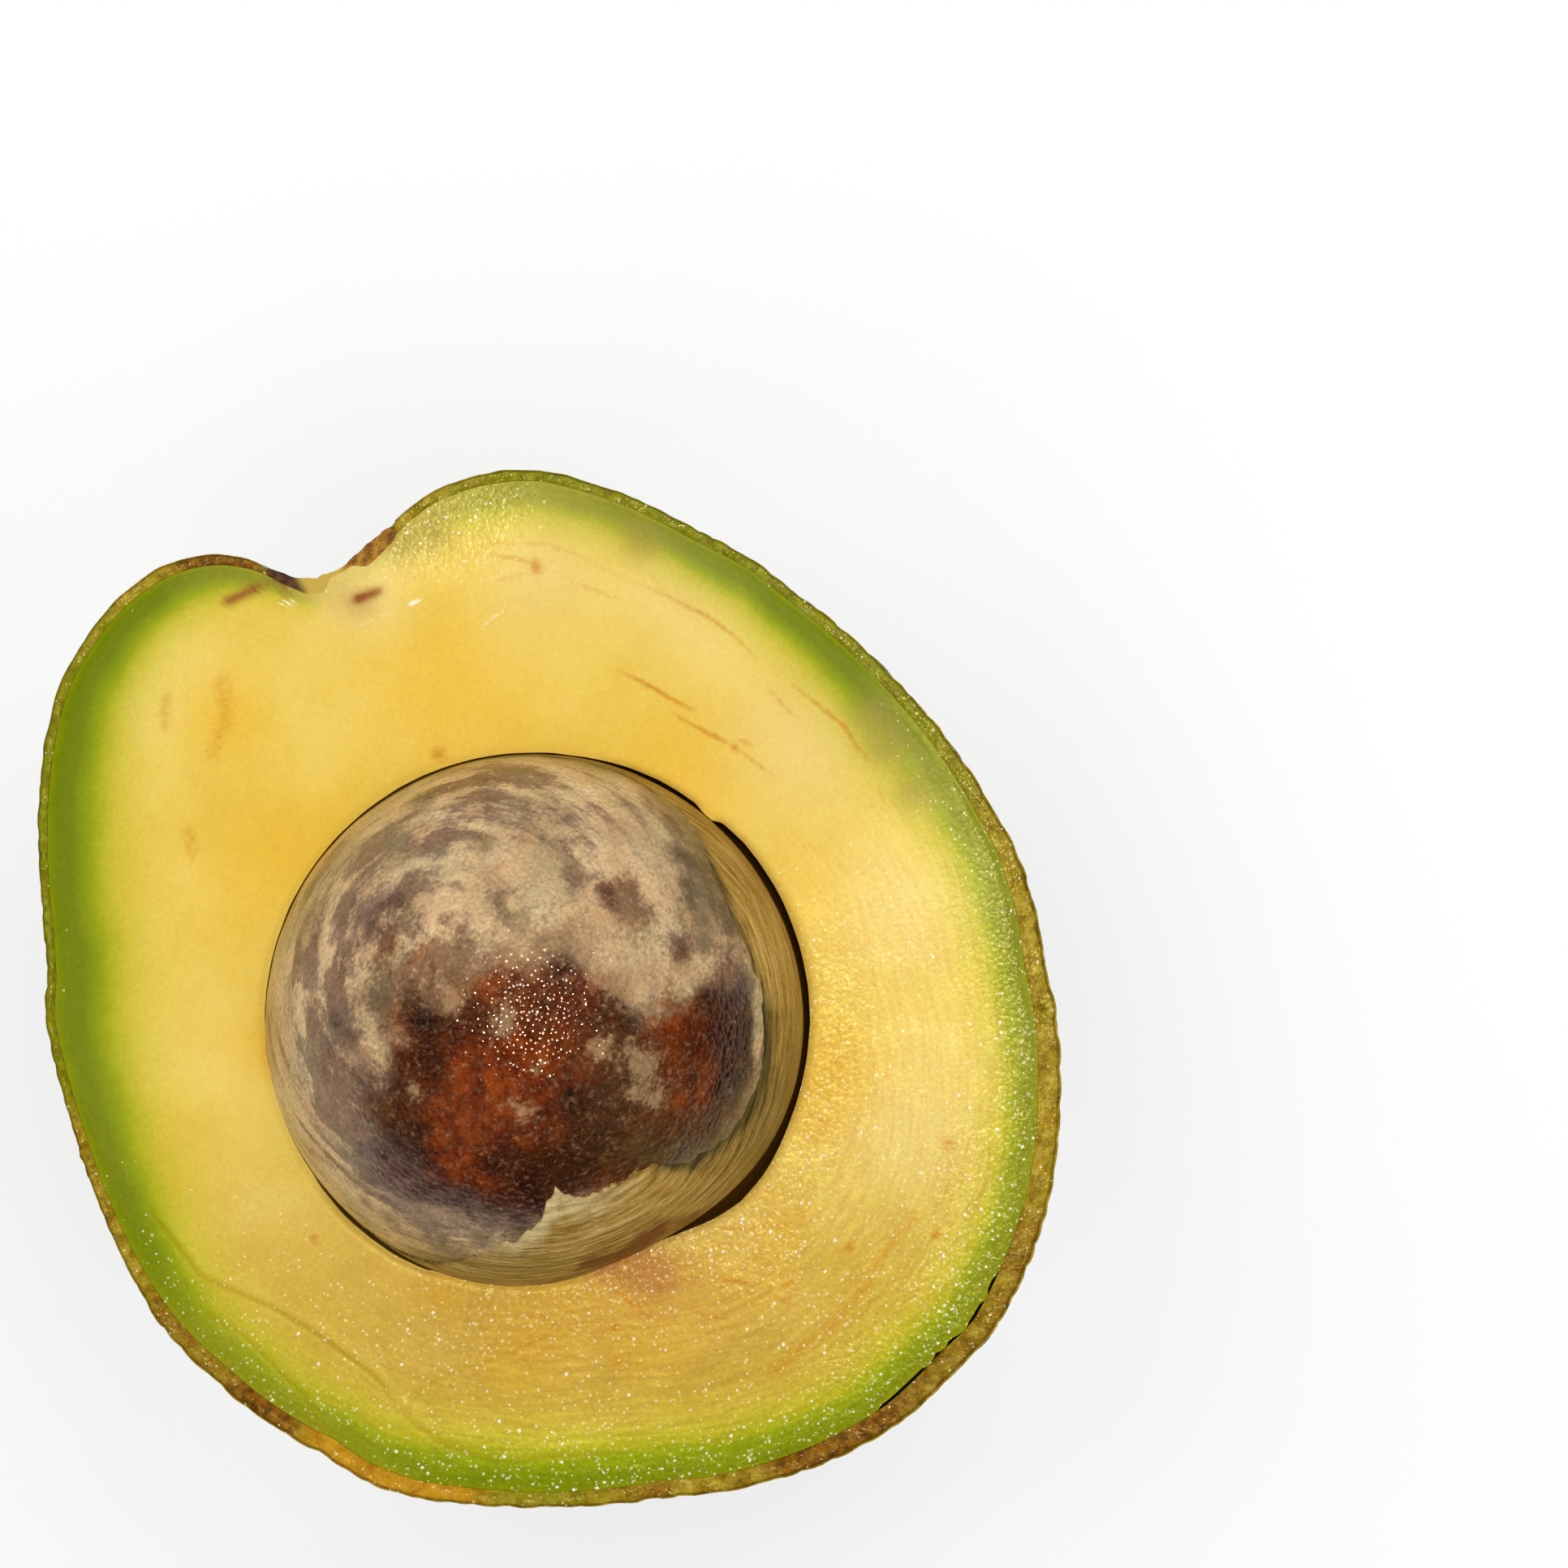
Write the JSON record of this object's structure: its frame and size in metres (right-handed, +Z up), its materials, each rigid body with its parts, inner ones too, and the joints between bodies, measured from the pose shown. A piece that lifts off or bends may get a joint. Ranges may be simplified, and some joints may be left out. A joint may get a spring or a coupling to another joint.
{
  "type": "halved avocado with its seed",
  "caption": "Avocado half lying cut face up, with yellow-green flesh, dark pebbled skin and the brown seed still in its hollow, its pale coat torn round one side.",
  "frame": {"origin": "middle of the small flat spot under the half, straight below the middle of the seed hollow", "axes": "+Z up, square to the level cut face; +Y along the fruit towards the stem end; +X to the right when looking down with the stem end at the top, which is the side the stem dimple sits on"},
  "size_m": [0.0792, 0.0916, 0.0586],
  "materials": {
    "skin": "dark green-black pebbled peel, semi-gloss",
    "flesh": "moist yellow cut flesh, green towards the skin",
    "seed": "dark red-brown seed, satin with a wet gleam",
    "seed_coat": "pale papery torn seed coat, matt",
    "cork": "rough brown cork, matt"
  },
  "bodies": {
    "root": {"skin": "skin", "flesh": "flesh", "seed": "seed", "seed_coat": "seed_coat", "stem_scar": "cork"}
  },
  "joints": []
}
